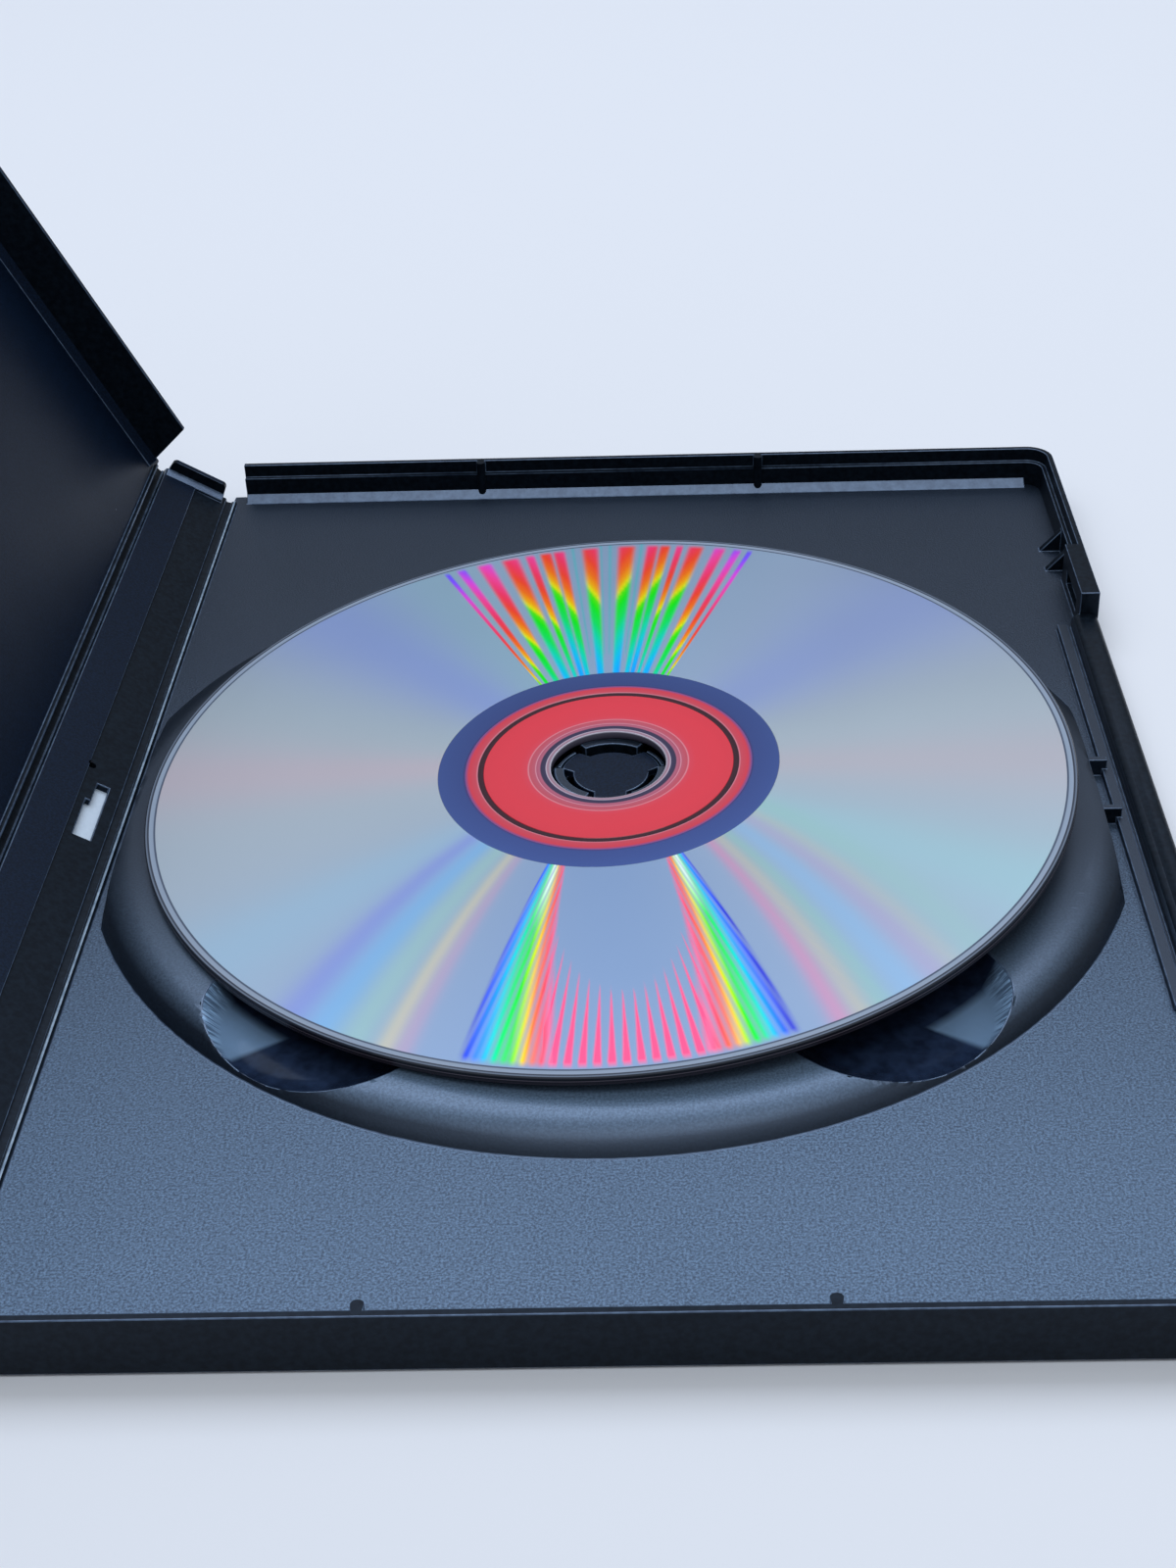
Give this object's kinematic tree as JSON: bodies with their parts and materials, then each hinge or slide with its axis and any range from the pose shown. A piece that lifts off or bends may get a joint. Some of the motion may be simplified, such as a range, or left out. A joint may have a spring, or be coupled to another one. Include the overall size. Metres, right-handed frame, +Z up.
{
  "type": "dvd case",
  "caption": "Hinged black keep case lying open, with a flat tray, tilted spine, leaning cover, clear outer sleeve, paper insert and a disc resting on the press hub.",
  "frame": {"origin": "on the table under the hub's axis", "axes": "+X from the hinges to the opening edge, +Y along the hinges, +Z up"},
  "size_m": [0.2097, 0.19, 0.133],
  "materials": {
    "black_polypropylene": "fine spark texture on the panels, satin on the walls and pedestal, polished in the finger scoops",
    "metallised_polycarbonate": "mirror-smooth with rainbow sheen",
    "white_paper": "uncoated, unprinted",
    "clear_film": "glossy clear film"
  },
  "bodies": {
    "tray": {"tray": "black_polypropylene", "disc": "metallised_polycarbonate", "insert_back": "white_paper", "sleeve_back": "clear_film"},
    "hub_button": {"hub_button": "black_polypropylene"},
    "spine": {"spine": "black_polypropylene", "insert_spine": "white_paper", "sleeve_spine": "clear_film"},
    "front_cover": {"front_cover": "black_polypropylene", "insert_front": "white_paper", "sleeve_front": "clear_film"}
  },
  "joints": [
    {"name": "spine_hinge", "type": "hinge", "parent": "tray", "child": "spine", "pos_m": [-0.0658, 0, 0.0007], "axis": [0, 1, 0], "range_deg": [-30, 60]},
    {"name": "cover_hinge", "type": "hinge", "parent": "spine", "child": "front_cover", "pos_m": [-0.07671, 0, 0.007], "axis": [0, 1, 0], "range_deg": [-33.2, 56.8]},
    {"name": "hub_press", "type": "slide", "parent": "tray", "child": "hub_button", "axis": [0, 0, -1], "range_m": [0, 0.0012], "stiffness_N_per_m": 2000}
  ]
}
